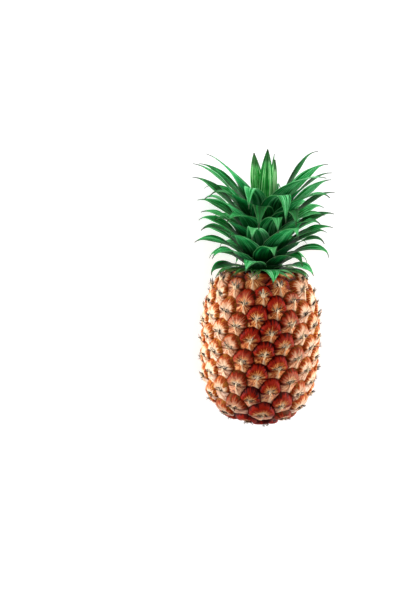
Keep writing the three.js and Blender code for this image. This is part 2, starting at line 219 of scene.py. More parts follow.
def outline_walk():
    """Even steps along the outline: the place and the mean radius of each and its length."""
    number = np.arange(OUTLINE_STEPS + 1)
    half = np.where(2 * number < OUTLINE_STEPS, BELLY_AT, BODY_LENGTH - BELLY_AT)
    y = BELLY_AT - half * np.cos(np.pi * number / OUTLINE_STEPS)
    radius = body_radius(y)
    y[0], radius[0] = 0.0, 0.0
    stride = np.hypot(np.diff(y), np.diff(radius))
    return y[1:], (radius[1:] + radius[:-1]) / 2, stride


walk_y, walk_radius, walk_stride = outline_walk()
print("skin area", round(float(2 * np.pi * (walk_radius * walk_stride).sum())), "mm2")

# %% [markdown]
# ## The spiral of the eyes
#
# Each eye is one flower of the plant. They grow one after another on a single spiral, each a
# little less than 137.5 degrees on from the last, and that alone makes the rows that wind both
# ways round the fruit. The edge between two eyes lies halfway between their centres.
# To find which eyes are neighbours, the centres are mapped onto a ball without bending small
# shapes, and Blender's convex hull joins them: each hull triangle is a corner of three eyes.
# The two ends of the fruit count as bare eyes, so that the skin closes over them.

# %% Eye centres and their neighbours
EYE_TURN, EYE_PHASE, FIRST_EYE, LAST_EYE = 137.42, -1.4, -70, 75
SKIN_BELOW_EYE_ZERO, EYE_AREA, EYE_AREA_SLOPE, EYE_AREA_CURVE = 31975.0, 374.5, -0.505, 0.00657
EYES = LAST_EYE - FIRST_EYE + 1


def eye_centres():
    number = np.arange(FIRST_EYE, LAST_EYE + 1)
    one_eye = EYE_AREA + EYE_AREA_SLOPE * number + EYE_AREA_CURVE * number**2
    area = SKIN_BELOW_EYE_ZERO + number * one_eye
    skin = np.concatenate([[0.0], np.cumsum(2 * np.pi * walk_radius * walk_stride)])
    y = np.interp(area, skin, np.concatenate([[0.0], walk_y]))
    turn = np.radians(EYE_PHASE + number * EYE_TURN)
    radius = body_radius(y)
    centres = np.stack([radius * np.sin(turn), y, radius * np.cos(turn)], 1)
    return np.concatenate([centres, [[0, 0, 0], [0, BODY_LENGTH, 0]]])


def eye_corners(centres):
    stretch_at = np.cumsum(walk_stride / walk_radius)
    stretch = np.interp(centres[:, 1], walk_y, stretch_at) - np.interp(BELLY_AT, walk_y, stretch_at)
    turn = np.arctan2(centres[:, 0], centres[:, 2])
    radius = 1 / np.cosh(stretch)
    ball = np.stack([radius * np.sin(turn), np.tanh(stretch), radius * np.cos(turn)], 1)
    ball[-2:] = [[0, -1, 0], [0, 1, 0]]
    web = bmesh.new()
    number = {web.verts.new(point): i for i, point in enumerate(ball)}
    web.verts.ensure_lookup_table()
    bmesh.ops.convex_hull(web, input=web.verts)
    bmesh.ops.triangulate(web, faces=web.faces)
    bmesh.ops.recalc_face_normals(web, faces=web.faces)
    triangles = [[number[v] for v in face.verts] for face in web.faces]
    web.free()
    return triangles


centres = eye_centres()
corners = eye_corners(centres)
corner_point = np.array([centres[list(c)].mean(0) for c in corners])
print("eyes:", EYES, "corners:", len(corners))


def corner_rings():
    """For every eye, the corners round it in order."""
    after = [dict() for _ in centres]
    for number, triangle in enumerate(corners):
        for k in range(3):
            after[triangle[k]][triangle[(k + 1) % 3]] = (number, triangle[(k + 2) % 3])
    rings = []
    for next_corner in after:
        step = min(next_corner)
        ring = []
        while len(ring) < len(next_corner):
            number, step = next_corner[step]
            ring.append(number)
        rings.append(ring)
    return rings


def around(ring):
    """Each item of a ring with the one after it."""
    return list(zip(ring, ring[1:] + ring[:1]))


rings = corner_rings()
print("most neighbours of one eye:", max(map(len, rings)))

# %% [markdown]
# ## The edge of an eye
#
# The dome of an eye swells up against the eyes above it, so the edge between two eyes is not
# straight. It bulges towards the upper one, and the scale of the upper one narrows to a point
# between two domes. Both eyes read the same edge, so the skin stays closed.

# %% Curved edges
EDGE_STEPS, EDGE_BULGE = 6, 1.7


def curved_edge(a, b):
    """Points from corner a to just before corner b on the smooth body."""
    shares = np.arange(EDGE_STEPS)[:, None] / EDGE_STEPS
    run = mix(corner_point[a], corner_point[b], shares)
    low, high = sorted(set(corners[a]) & set(corners[b]), key=lambda i: centres[i][1])
    climb = centres[high] - centres[low]
    climb = climb / np.linalg.norm(climb)
    return onto_body(run + climb * EDGE_BULGE * climb[1] * np.sin(np.pi * shares))


print("points on one edge:", len(curved_edge(*rings[0][:2])))

# %% [markdown]
# ## What makes each eye its own
#
# Dome and scale meet at a hub a little below the middle of the eye. The eyes on the sides are
# painted paler as sheen and side light, the shaded underside is paler too, and those near the
# crown are dry. All pieces of an eye read the same facts, so they fit each other.

# %% Facts of every eye
# The sides are painted pale as sheen and side light, by how far an eye faces sideways; the underside,
# which faces the floor, is paler too.
HUB_DROP, DRYING, SHEEN_SIDES, UNDERSIDE = 2.0, (128.0, 26.0), (0.25, 0.65), (0.0, 0.5)


def eye_facts(i):
    centre = centres[i]
    out = body_normal(centre[None])[0]
    forward = np.array([0.0, 1.0, 0.0]) - out[1] * out
    forward = forward / max(np.linalg.norm(forward), TINY)
    return SimpleNamespace(
        number=i, centre=centre, out=out, forward=forward, side=np.cross(forward, out),
        hub=onto_body((centre - HUB_DROP * forward)[None])[0],
        rim=np.concatenate([curved_edge(a, b) for a, b in around(rings[i])]),
        tone=scatter(i, 1),
        dry=float(smooth(centre[1], *DRYING)),
        sheen_sides_and_pale_underside=float(max(smooth(abs(out[0]), *SHEEN_SIDES), smooth(-out[2], *UNDERSIDE))),
    )


eyes = [eye_facts(i) for i in range(len(centres))]
print("dry eyes:", sum(eye.dry > 0.5 for eye in eyes))

# %% [markdown]
# ## The rind
#
# An eye is a rounded dome behind a flat papery scale. The dome is highest near its rim, ends in
# a steep, round arch on the side of the crown, and sinks to a hollow at the hub, with a crease
# down its middle. A groove, painted dark as shade, runs all round. The skin is one closed mesh:
# every eye is a set of rings from its edge to its hub, and neighbours share the points of their
# edge. Modelling one eye by hand and copying it would leave gaps, because no two eyes have quite
# the same outline, so the rings are worked out for each.

# %% Rings of one eye
RING_SHARES = np.array([0.975, 0.94, 0.9, 0.84, 0.75, 0.62, 0.46, 0.29, 0.13])
DOME_HEIGHTS = np.array([-1.7, -0.6, 0.5, 1.35, 1.8, 1.6, 1.0, 0.5, 0.2])
SCALE_HEIGHTS = np.array([-1.7, -1.45, -1.2, -0.9, -0.45, -0.05, 0.2, 0.2, 0.1])
HUB_HEIGHT, TOP_SWELL, ROUND_SHARE, ARCH = 1.2, 0.9, 0.93, (-0.2, 0.3)
CREASE_DEPTH, CREASE_LEAST, CREASE_WIDTH, CREASE_SHIFT = 0.9, 0.35, 0.19, 0.25
DRY_SHRINKING, UNEVENNESS = 0.25, 0.15


def ring_points(eye, share):
    """Points at a share of the way from the hub to the rim, rounder towards the hub."""
    arms = eye.rim - eye.hub
    reach = np.linalg.norm(arms, axis=1)
    even = ROUND_SHARE * reach.mean()
    length = share * mix(np.minimum(even, reach), reach, share**6)
    return eye.hub + arms / reach[:, None] * length[:, None]


def ring_lifts(eye, up, across):
    """The share of each ring and the height of its points: a dome ahead and a low foot behind."""
    crease = CREASE_DEPTH * mix(CREASE_LEAST, 1.0, abs(scatter(eye.number, 15)))
    off_crease = np.arctan2(across, up) - CREASE_SHIFT * scatter(eye.number, 14)
    for share, high, low in zip(RING_SHARES, DOME_HEIGHTS, SCALE_HEIGHTS):
        dome = high + TOP_SWELL * share * up
        dome = dome - crease * math.sin(math.pi * share) * np.exp(-((off_crease / CREASE_WIDTH) ** 2))
        lift = mix(low, dome, smooth(up * share, *ARCH))
        yield share, lift * (1 - DRY_SHRINKING * eye.dry) + UNEVENNESS * scatter(eye.number, 2)


print("the dome rises", DOME_HEIGHTS.max() - DOME_HEIGHTS[0], "mm from its groove")

# %% The whole rind
MARKS = ("rim", "up", "side", "ahead", "tone", "dry", "sheen_sides_and_pale_underside")


def shared_rims(points):
    """The rim of every eye as numbers of points. Neighbours share the points between them."""
    points.extend(lifted(corner_point, -GROOVE_DEPTH))
    known = {}

    def edge(a, b):
        key = (min(a, b), max(a, b))
        if key not in known:
            run = lifted(curved_edge(*key)[1:], -GROOVE_DEPTH)
            known[key] = list(range(len(points), len(points) + len(run)))
            points.extend(run)
        return known[key] if a < b else known[key][::-1]

    return [[k for a, b in around(ring) for k in (a, *edge(a, b))] for ring in rings]


def add_eye(eye, outer, points, faces, marks):
    """Rings of faces from the rim to the hub, with the marks that the finish reads at each corner."""
    bare = eye.number >= EYES
    arms = eye.rim - eye.hub
    up = arms @ eye.forward / (np.abs(arms @ eye.forward).max() + TINY)
    across = arms @ eye.side / (np.abs(arms @ eye.side).max() + TINY)
    look = (eye.tone, eye.dry, eye.sheen_sides_and_pale_underside)
    arm_pairs = around(list(range(len(outer))))
    outer_share = 1.0
    for share, lift in ring_lifts(eye, up, across):
        inner = list(range(len(points), len(points) + len(outer)))
        points.extend(lifted(ring_points(eye, share), -GROOVE_DEPTH if bare else lift))
        for k, n in arm_pairs:
            faces.append((outer[k], outer[n], inner[n], inner[k]))
            for at, j in ((outer_share, k), (outer_share, n), (share, n), (share, k)):
                marks.append((at, at * up[j], across[j], up[j], *look))
        outer, outer_share = inner, share
    middle = len(points)
    points.extend(lifted(eye.hub[None], -GROOVE_DEPTH if bare else HUB_HEIGHT))
    for k, n in arm_pairs:
        faces.append((outer[k], outer[n], middle))
        for j in (k, n):
            marks.append((outer_share, outer_share * up[j], across[j], up[j], *look))
        marks.append((0.0, 0.0, (across[k] + across[n]) / 2, (up[k] + up[n]) / 2, *look))


def build_rind():
    points, faces, marks = [], [], []
    for eye, rim in zip(eyes, shared_rims(points)):
        add_eye(eye, rim, points, faces, marks)
    points = np.array(points)
    # the seat of the crown is level
    on_seat = np.hypot(points[:, 0], points[:, 2]) < SEAT_RADIUS
    points[on_seat, 1] = np.minimum(points[on_seat, 1], SEAT_AT)
    return write_piece("rind", [(points, faces, dict(zip(MARKS, np.array(marks).T)))], "CORNER")


rind = build_rind()
print("rind box", [round(v / MM, 1) for v in rind.dimensions], "mm")

# %% [markdown]
# ## Papery scales
#
# Below each dome sits a bract: a dry, papery scale whose foot fills the lower corner of the eye
# and whose point stands up over its middle. Fine ribs fan out from that point, and a ridge runs
# down from it. Each scale is a thin closed shell that stands on the low part of its eye.

# %% One scale for every eye
SCALE_SPREAD, SCALE_NARROWING, SCALE_WAIST = np.radians(81.0), 0.93, 0.12
SCALE_COLUMNS, SCALE_THICKNESS, POINT_THICKNESS = 14, 0.55, 0.35
SCALE_SHARES = np.array([0.03, 0.15, 0.29, 0.44, 0.58, 0.72, 0.84, 0.94, 1.03])
SCALE_LIFTS = np.array([2.0, 1.65, 1.3, 0.9, 0.5, 0.05, -0.35, -0.75, -1.2])
RIDGE_HEIGHT, RIDGE_WIDTH, RIB_HEIGHT, RIB_STEP, LIP_HEIGHT = 0.75, 0.22, 0.12, 19, 0.55
SCALE_UNEVENNESS, SEAT_EDGE = 0.2, 3.0


def rim_reach(eye, angles):
    """Distance from the hub to the rim at angles measured from straight down."""
    arms = eye.rim - eye.hub
    angle = np.arctan2(arms @ eye.side, -(arms @ eye.forward))
    order = np.argsort(angle)
    reach = np.linalg.norm(arms, axis=1)[order]
    angle = angle[order]
    angle = np.concatenate([angle[-1:] - 2 * np.pi, angle, angle[:1] + 2 * np.pi])
    return np.interp(angles, angle, np.concatenate([reach[-1:], reach, reach[:1]]))


def scale_shell(eye):
    columns = np.linspace(-1, 1, SCALE_COLUMNS + 1)
    top, low = [], []
    for share, height in zip(SCALE_SHARES, SCALE_LIFTS):
        bow = math.sin(math.pi * share)
        angles = columns * SCALE_SPREAD * mix(1.0, SCALE_NARROWING, share) * (1 - SCALE_WAIST * bow)
        reach = rim_reach(eye, angles)
        length = share * mix(ROUND_SHARE * reach.mean(), reach, share**2)
        arms = np.sin(angles)[:, None] * eye.side - np.cos(angles)[:, None] * eye.forward
        at = eye.hub + arms * length[:, None]
        ridge = RIDGE_HEIGHT * np.exp(-((angles / RIDGE_WIDTH) ** 2)) * max(bow, 0.0) ** 0.7
        ribs = RIB_HEIGHT * np.cos(columns * RIB_STEP + scatter(eye.number, 3)) * share
        lip = LIP_HEIGHT * np.abs(columns) ** 6 * (1 - share)
        lift = height + ridge + ribs + lip + SCALE_UNEVENNESS * scatter(eye.number, 4)
        top.append(lifted(at, lift))
        low.append(lifted(at, lift - SCALE_THICKNESS - POINT_THICKNESS * (1 - share)))
    rows, width = len(SCALE_SHARES), len(columns)
    values = {
        "fan": np.tile(columns, 2 * rows),
        "rim": np.tile(np.repeat(SCALE_SHARES, width), 2),
        "tone": eye.tone, "dry": eye.dry, "sheen_sides_and_pale_underside": eye.sheen_sides_and_pale_underside,
    }
    return np.concatenate(low + top), shell_faces(rows, width), values


# the eyes under the crown's seat stay bare
off_seat = (centres[:, 1] < BELLY_AT) | (np.hypot(centres[:, 0], centres[:, 2]) > SEAT_RADIUS + SEAT_EDGE)
dressed_eyes = [eye for eye in eyes[:EYES] if off_seat[eye.number]]
scales = write_piece("scales", [scale_shell(eye) for eye in dressed_eyes])
print("scales:", len(dressed_eyes))

# %% [markdown]
# ## Points of the scales and dry flower ends
#
# The point of each scale is a stiff little blade over the middle of the eye, and round it stick
# the dried ends of the flower, thin and dark. The dry eyes at the shoulder are torn into several
# points. All of them are bent, tapering spikes, so a loop writes each kind as one joined mesh.

# %% Points of the scales
TORN_POINTS, TORN_FROM = 4, 0.3


def spike(foot, direction, bend, length, half_width, flatness, tone, sides, spans):
    """A closed tapering spike. Flatness squeezes its section to a blade, and tone is for the finish."""
    direction = direction / np.linalg.norm(direction)
    across = np.cross(direction, bend)
    across /= np.linalg.norm(across)
    thick = flatness * np.cross(across, direction)
    turn = 2 * np.pi * np.arange(sides) / sides
    section = half_width * (np.cos(turn)[:, None] * across + np.sin(turn)[:, None] * thick)
    points, faces = [], [tuple(range(sides - 1, -1, -1))]
    shares = np.arange(spans) / spans
    for step, share in enumerate(shares):
        middle = foot + (direction + bend * share) * length * share
        points.append(middle + section * (1 - share) ** 0.8)
        ring = list(range(step * sides, (step + 1) * sides))
        if step < spans - 1:
            faces += [(a, b, b + sides, a + sides) for a, b in around(ring)]
    points.append([foot + (direction + bend) * length])
    faces += [(a, b, sides * spans) for a, b in around(ring)]
    return np.concatenate(points), faces, {"along": np.append(np.repeat(shares, sides), 1.0), "tone": tone}


def towards(eye, ahead, sideways, outwards):
    return ahead * eye.forward + sideways * eye.side + outwards * eye.out


def scale_point(eye, k):
    i, dry = eye.number, eye.dry
    foot = lifted(eye.hub[None], 1.1)[0] - 1.6 * eye.forward
    sideways = (0.5 + 0.6 * dry) * scatter(i, 5 + 100 * k)
    lean = towards(eye, 0.95, sideways, 0.62 + 0.35 * dry + 0.25 * scatter(i, 6 + 100 * k))
    bend = towards(eye, 0.2, 0.9 * scatter(i, 7 + 100 * k), -0.4 - 0.6 * abs(scatter(i, 8 + k)))
    length = 8.2 + 1.5 * dry + 2.4 * scatter(i, 9 + 100 * k)
    tone = scatter(i, 1 + k) + 2.2 * dry
    return spike(foot, lean, 0.28 * bend, length, 1.7, 0.35, tone, sides=6, spans=5)


def points_of(eye):
    return [scale_point(eye, k) for k in range(TORN_POINTS if eye.dry > TORN_FROM else 1)]


scale_points = write_piece("scale_points", sum(map(points_of, dressed_eyes), []))
print("points of scales:", len(scale_points.data.polygons), "faces")

# %% Dry flower ends
FLOWER_ENDS, SHOULDER = 8, (110.0, 40.0)


def flower_end(eye, k):
    i = eye.number
    across = 0.8 * (k - (FLOWER_ENDS - 1) / 2) + 0.7 * scatter(i, 20 + k)
    foot = lifted(eye.hub[None], 0.9)[0] + towards(eye, 1.0 + 1.5 * scatter(i, 30 + k), across, 0.0)
    lean = towards(eye, 0.5 + 0.5 * scatter(i, 50 + k), 0.35 * across, 0.9 + 0.3 * scatter(i, 40 + k))
    bend = towards(eye, scatter(i, 70 + k), scatter(i, 60 + k), 0.1)
    length = 4.9 + 1.7 * scatter(i, 80 + k)
    length += 1.6 * float(smooth(eye.centre[1], *SHOULDER))
    return spike(foot, lean, 0.35 * bend, length, 0.6, 0.7, scatter(i, k), sides=4, spans=3)


all_ends = [flower_end(eye, k) for eye in dressed_eyes for k in range(FLOWER_ENDS)]
flower_ends = write_piece("flower_ends", all_ends)
print("flower ends:", len(all_ends))

# %% [markdown]
# ## Leaves of the crown
#
# The crown is a short shoot. Its leaves grow on a small egg-shaped core, each turned by the same
# angle from the last. The low ones are short and lie back over the fruit, the middle ones arch
# out wide and the youngest stand upright in the heart. The table gives those habits by height.
# The leaves that face up or down from the lying crown arch further over, and some that face up
# are folded near their ends, which hang down. Every leaf is one surface given a thickness.

# %% Habits of the leaves
LEAVES, FUSED_LEAVES, FUSED_DEPTH, HEART_LEAVES = 72, 16, 3.4, 5
HEART_SHARE, HEART_DEPTH, HEART_LOOSENESS, CROWN_PHASE = 0.93, 1.05, 0.12, 12.0
# share of the height, slope at the foot, in the middle and at the tip, length and half width
LEAF_ROWS = np.array([
    [0, 18, 2, -65, 36, 12],
    [0.1, 38, 28, -52, 46, 13],
    [0.25, 46, 35, -16, 60, 13.8],
    [0.45, 57, 40, 5, 63, 14.2],
    [0.6, 61, 46, 14, 68, 14.5],
    [0.75, 64.5, 50, 24, 80, 14],
    [0.925, 69, 56, 42, 90, 13],
    [0.94, 73, 80, 88, 66, 8.2],
    [1, 83, 86, 90, 58, 6.6],
])
MIDDLE_SCATTER, TIP_SCATTER, LENGTH_SCATTER, WIDTH_SCATTER, SWAY = 2.2, 10, 0.08, 0.1, 7
HOOK_LEAST, HOOK_SPREAD, DRY_SCATTER = 8, 48, 0.04
OVER_LEAVES, OVER_MIDDLE, OVER_TIP = (0.3, 0.4), 30, 60
FOLD_ANGLE, FOLD_SCATTER, FOLD_FACING, FOLD_SHARE = -82, 14, (0.87, 0.08), 0.1
FOLD, HIGH_FOLD = (0.8, 0.08), (0.64, 0.2)


def leaf_facts(i):
    share = i / (LEAVES - 1)
    habits = [np.interp(share, LEAF_ROWS[:, 0], column) for column in LEAF_ROWS.T[1:]]
    first, middle, tip, length, half = habits
    heart = share > HEART_SHARE
    loose = HEART_LOOSENESS if heart else 1.0
    turn = math.radians(CROWN_PHASE + i * EYE_TURN)
    high = 0.0 if heart else through(share, *OVER_LEAVES)
    over = high * math.cos(turn) ** 2
    facing = smooth(math.cos(turn), *FOLD_FACING)
    return SimpleNamespace(
        share=share, heart=heart, turn=turn, first=first, over=OVER_MIDDLE * over,
        middle=middle + MIDDLE_SCATTER * loose * scatter(i, 1),
        tip=tip + TIP_SCATTER * loose * scatter(i, 2) - OVER_TIP * over,
        hook=loose * (HOOK_LEAST + HOOK_SPREAD * abs(scatter(i, 3))),
        fold=FOLD_ANGLE + FOLD_SCATTER * scatter(i, 17),
        folded=0.0 if heart or share < FOLD_SHARE else facing,
        fold_at=[mix(low, top, high) for low, top in zip(FOLD, HIGH_FOLD)],
        half=half * (1 + WIDTH_SCATTER * scatter(i, 4)),
        length=length * (1 + LENGTH_SCATTER * scatter(i, 5)),
        sway=math.radians(SWAY * scatter(i, 6)),
        rooted=FUSED_DEPTH if i < FUSED_LEAVES else (HEART_DEPTH if heart else 0.0),
        dry=DRY_SCATTER * scatter(i, 18),
    )


print("the longest leaf is", round(max(leaf_facts(i).length for i in range(LEAVES)), 1), "mm")

# %% The bend and the width of a leaf
BEND_STEPS, FOOT_SHARE, DROOP_POWER, OVER_BEND = 56, 0.3, 1.4, (0.22, 0.3)
HOOK_FROM, HOOK_POWER = 0.78, 1.5
FOOT_WIDTH, BLADE_POWER, BLADE_FULLNESS, LENS_FROM, LENS_POWER = 0.74, 0.9, 0.45, 0.14, 0.8
NEEDLE, NEEDLE_SHARE, TIP_HALF_WIDTH = (0.72, 0.24), 0.45, 0.42


def leaf_bend(leaf, start):
    """The middle of a leaf: distance from the crown's axis and height at even steps along it."""
    u = (np.arange(BEND_STEPS) + 0.5) / BEND_STEPS
    droop = through(u, FOOT_SHARE, 1 - FOOT_SHARE) ** DROOP_POWER
    hooked = leaf.hook * through(u, HOOK_FROM, 1 - HOOK_FROM) ** HOOK_POWER
    first = mix(leaf.first, leaf.middle, smooth(u, 0.0, FOOT_SHARE))
    bent = first - leaf.over * through(u, *OVER_BEND)
    free = mix(bent, leaf.tip, droop) - hooked
    angle = np.radians(mix(free, leaf.fold, leaf.folded * smooth(u, *leaf.fold_at)))
    stride = (leaf.length + leaf.rooted) / BEND_STEPS
    root = math.radians(leaf.first)
    radius = start[0] - leaf.rooted * math.cos(root)
    height = start[1] - leaf.rooted * math.sin(root)
    radius = radius + np.concatenate([[0.0], np.cumsum(np.cos(angle))]) * stride
    height = height + np.concatenate([[0.0], np.cumsum(np.sin(angle))]) * stride
    return radius, height


def leaf_half_width(leaf, u):
    if leaf.heart:
        shape = np.sin(np.pi * mix(LENS_FROM, 1.0, np.minimum(u, 1.0))).clip(0) ** LENS_POWER
    else:
        foot = mix(FOOT_WIDTH, 1.0, through(u, 0.0, FOOT_SHARE))
        shape = foot * np.maximum(1 - u, 0) ** BLADE_POWER * (1 + BLADE_FULLNESS * u)
        shape = shape * mix(1.0, NEEDLE_SHARE, smooth(u, *NEEDLE))
    return np.maximum(leaf.half * shape, TIP_HALF_WIDTH)


print("half the width of a leaf at its middle:", leaf_half_width(leaf_facts(40), 0.5), "mm")

# %% The surface of a leaf
CORE_RADIUS, CORE_HEIGHT, CORE_ARC_START, CORE_ARC_END = 18.0, 54.0, 1, 77
LEAF_SPANS, LEAF_COLUMNS, SPACING_POWER, STEP = 30, 10, 0.95, 0.002
LEAF_GAP, LEAF_RISE, THICKNESS_SHARE, LEAST_THICKNESS, EDGE_THICKNESS = 0.35, 0.8, 1 / 64, 0.95, 0.4
OPENING, LEAF_TWIST, GUTTER_DEPTH, GUTTER_HALF_WIDTH = (0.35, 0.35), 28, 2.2, 13
HUG_SHARE, FLOOR_CLEAR, FLOOR_SOFTNESS, FOLD_LIGHT_FADING = 0.85, 1.9, 7, (0.35, 0.3)


def core_shares():
    """Share of the way up the core's outline, and the angle there, for the foot of a leaf."""
    angle = np.arange(CORE_ARC_START, CORE_ARC_END + 1.0)
    radius, height = CORE_RADIUS * np.cos(np.radians(angle)), CORE_HEIGHT * np.sin(np.radians(angle))
    length = np.concatenate([[0.0], np.cumsum(np.hypot(np.diff(radius), np.diff(height)))])
    return length / length[-1], angle


def over_floor(z):
    """Bends what would reach the floor along it."""
    lowest = FLOOR_CLEAR - AXIS_HEIGHT
    return lowest + FLOOR_SOFTNESS * np.log1p(np.exp((z - lowest) / FLOOR_SOFTNESS))


def thickness(leaf):
    return max(leaf.length * THICKNESS_SHARE, LEAST_THICKNESS)


def leaf_points(leaf, u, v):
    """The middle surface at u along and v across, both arrays of one shape."""
    angle = math.radians(np.interp(leaf.share, *core_shares()))
    foot_radius = CORE_RADIUS * math.cos(angle) + LEAF_GAP + thickness(leaf)
    out, up = leaf_bend(leaf, (foot_radius, CORE_HEIGHT * math.sin(angle) + LEAF_RISE))
    steps = np.arange(BEND_STEPS + 1) / BEND_STEPS
    slope = np.interp(u, steps[:-1] + 0.5 / BEND_STEPS, np.arctan2(np.diff(up), np.diff(out)))
    half = leaf_half_width(leaf, u)
    opened = through(u, *OPENING)
    twist = math.radians(LEAF_TWIST) * math.sin(leaf.turn) * opened
    raised = v * half * np.sin(twist) + GUTTER_DEPTH * v * v * opened * half / GUTTER_HALF_WIDTH
    radius = np.interp(u, steps, out) - raised * np.sin(slope)
    rise = np.interp(u, steps, up) + raised * np.cos(slope)
    aside = v * half * np.cos(twist) / np.maximum(radius, HUG_SHARE * half)
    bearing = leaf.turn + leaf.sway * u * u + aside
    z = over_floor(radius * np.cos(bearing))
    return np.stack([radius * np.sin(bearing), CROWN_FOOT + rise, z], -1)


def leaf_block(i, leaf):
    across = np.sin(np.linspace(-1, 1, LEAF_COLUMNS + 1) * np.pi / 2)
    along = np.linspace(0, 1, LEAF_SPANS + 1) ** SPACING_POWER
    u, v = np.meshgrid(along, across, indexing="ij")
    middle = leaf_points(leaf, u, v)
    ahead = leaf_points(leaf, np.minimum(u + STEP, 1), v) - leaf_points(leaf, np.maximum(u - STEP, 0), v)
    aside = leaf_points(leaf, u, v + STEP) - leaf_points(leaf, u, v - STEP)
    normal = np.cross(ahead, aside)
    normal /= np.linalg.norm(normal, axis=-1, keepdims=True)
    half = mix(mix(thickness(leaf), EDGE_THICKNESS, v * v), EDGE_THICKNESS, u * u)[..., None] / 2
    sheets = [(middle + side * normal * half).reshape(-1, 3) for side in (1, -1)]
    values = {
        "across": np.tile(v.ravel(), 2), "along": np.tile(u.ravel(), 2),
        "back": np.repeat([0.0, 1.0], u.size), "tone": scatter(i, 12), "dry": leaf.dry,
        # hang carries the painted highlight on a folded end; it fades on high leaves, whose hanging ends
        # lie in shade.
        "hang": leaf.folded * (1 - through(leaf.share, *FOLD_LIGHT_FADING)),
    }
    return np.concatenate(sheets), shell_faces(*u.shape), values


print("a leaf has", len(leaf_block(0, leaf_facts(0))[1]), "faces")

# %% [markdown]
# ## Finishes
#
# Wax, dry paper and cut fibre look real only when their colour varies. A fine mottle is used by
# most finishes, so it is one node group with named sockets. Each finish mixes plain colours by
# the numbers stored on the mesh and by noise.


# %% Colours and the shared mottle
def colour(code):
    """A colour code as the linear numbers that a shader works with."""
    parts = [int(code[k : k + 2], 16) / 255 for k in (1, 3, 5)]
    return (*[p / 12.92 if p <= 0.04045 else ((p + 0.055) / 1.055) ** 2.4 for p in parts], 1.0)


def node(tree, kind, inputs=None, **settings):
    """A new node. An input is a plain value or the socket that feeds it, which knows its tree."""
    made = tree.nodes.new(kind)
    for key, value in settings.items():
        setattr(made, key, value)
    for key, value in (inputs or {}).items():
        if isinstance(value, bpy.types.NodeSocket):
            tree.links.new(value, made.inputs[key])
        else:
            made.inputs[key].default_value = value
    return made


def noise(place, scale, detail, roughness):
    settings = {"Vector": place, "Scale": scale, "Detail": detail, "Roughness": roughness}
    return node(place.id_data, "ShaderNodeTexNoise", settings).outputs["Fac"]


def maths(operation, a, *others, clamp=False):
    inputs = dict(enumerate((a, *others)))
    return node(a.id_data, "ShaderNodeMath", inputs, operation=operation, use_clamp=clamp).outputs[0]


def times(a, b):
    return maths("MULTIPLY", a, b)


def make_mottle():
    group = bpy.data.node_groups.new("fine_mottle", "ShaderNodeTree")
    group.interface.new_socket("Vector", in_out="INPUT", socket_type="NodeSocketVector")
    for name in ("Scale", "Amount"):
        group.interface.new_socket(name, in_out="INPUT", socket_type="NodeSocketFloat")
    group.interface.new_socket("Value", in_out="OUTPUT", socket_type="NodeSocketFloat")
    given = group.nodes.new("NodeGroupInput").outputs
    grain = noise(given["Vector"], given["Scale"], 4.0, 0.6)
    node(group, "NodeGroupOutput", {"Value": times(maths("SUBTRACT", grain, 0.5), given["Amount"])})
    return group


MOTTLE = make_mottle()
print("shared group:", MOTTLE.name)


# %% Small tools for a finish
def new_finish(name, roughness, specular=0.5):
    """A finish, and the place of a point on its piece."""
    finish = bpy.data.materials.new(name)
    finish.use_nodes = True
    inputs = finish.node_tree.nodes["Principled BSDF"].inputs
    inputs["Roughness"].default_value = roughness
    inputs["Specular IOR Level"].default_value = specular
    return finish, node(finish.node_tree, "ShaderNodeTexCoord").outputs["Object"]


def connect(finish, name, socket):
    finish.node_tree.links.new(socket, finish.node_tree.nodes["Principled BSDF"].inputs[name])


def painted(finish, body, height, strength, distance):
    """The finish with its colour and its bumps."""
    connect(finish, "Base Color", body)
    relief = {"Height": height, "Strength": strength, "Distance": distance}
    connect(finish, "Normal", node(finish.node_tree, "ShaderNodeBump", relief).outputs["Normal"])
    return finish


def stored(place, *names):
    """The numbers that are stored on the mesh under those names."""
    tree = place.id_data
    return [node(tree, "ShaderNodeAttribute", attribute_name=name).outputs["Fac"] for name in names]


def plus(a, b, clamp=False):
    return maths("ADD", a, b, clamp=clamp)


def line(value, slope, start, clamp=False):
    return maths("MULTIPLY_ADD", value, slope, start, clamp=clamp)


def fade(value, start, end, low, high):
    """The low number where the value is at the start, the high one at the end, even between."""
    ends = {"Value": value, "From Min": start, "From Max": end, "To Min": low, "To Max": high}
    return node(value.id_data, "ShaderNodeMapRange", ends).outputs["Result"]


def mottle(place, scale, amount):
    inputs = {"Vector": place, "Scale": scale, "Amount": amount}
    return node(place.id_data, "ShaderNodeGroup", inputs, node_tree=MOTTLE).outputs["Value"]


def streaks(x, y, z, detail, roughness):
    """Noise in a space of stored numbers, so that it runs along the piece's own lines."""
    place = node(x.id_data, "ShaderNodeCombineXYZ", {0: x, 1: y, 2: z}).outputs[0]
    return noise(place, 1.0, detail, roughness)


def ramp(factor, stops):
    made = node(factor.id_data, "ShaderNodeValToRGB", {"Fac": factor})
    elements = made.color_ramp.elements
    while len(elements) < len(stops):
        elements.new(0.5)
    for element, (position, code) in zip(elements, stops.items()):
        element.position, element.color = position, colour(code)
    return made.outputs["Color"]


def blend(factor, a, b):
    b = colour(b) if isinstance(b, str) else b
    return node(a.id_data, "ShaderNodeMix", {0: factor, 6: a, 7: b}, data_type="RGBA").outputs[2]


print("white in linear numbers:", colour("#FFFFFF"))
